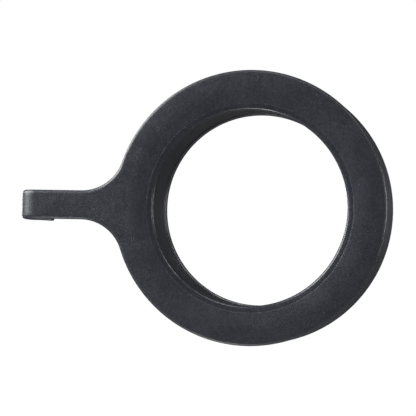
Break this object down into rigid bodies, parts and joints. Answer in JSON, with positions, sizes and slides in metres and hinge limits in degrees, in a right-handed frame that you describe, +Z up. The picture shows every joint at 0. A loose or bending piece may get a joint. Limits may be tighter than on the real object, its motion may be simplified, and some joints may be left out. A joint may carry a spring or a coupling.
{
  "type": "fence insulator ring with hook strap",
  "caption": "Black moulded slip-on fence insulator: a deep round ring with a flat strap whose end is bent into a J-shaped hook for a fence wire.",
  "frame": {"origin": "middle of the hook's hollow, half-way up the strap, where the fence wire sits", "axes": "+Y along the ring's axis from the front face to the back face, +X from the hook to the ring, +Z up"},
  "size_m": [0.0937, 0.02, 0.069],
  "materials": {
    "moulded_face": "satin, fine moulded grain",
    "moulded_collar": "satin",
    "sleeve": "satin, smoother than the ring"
  },
  "bodies": {
    "root": {"front_plate_with_hook": "moulded_face", "cored_collar": "moulded_collar", "bore_sleeve": "sleeve"}
  },
  "joints": []
}
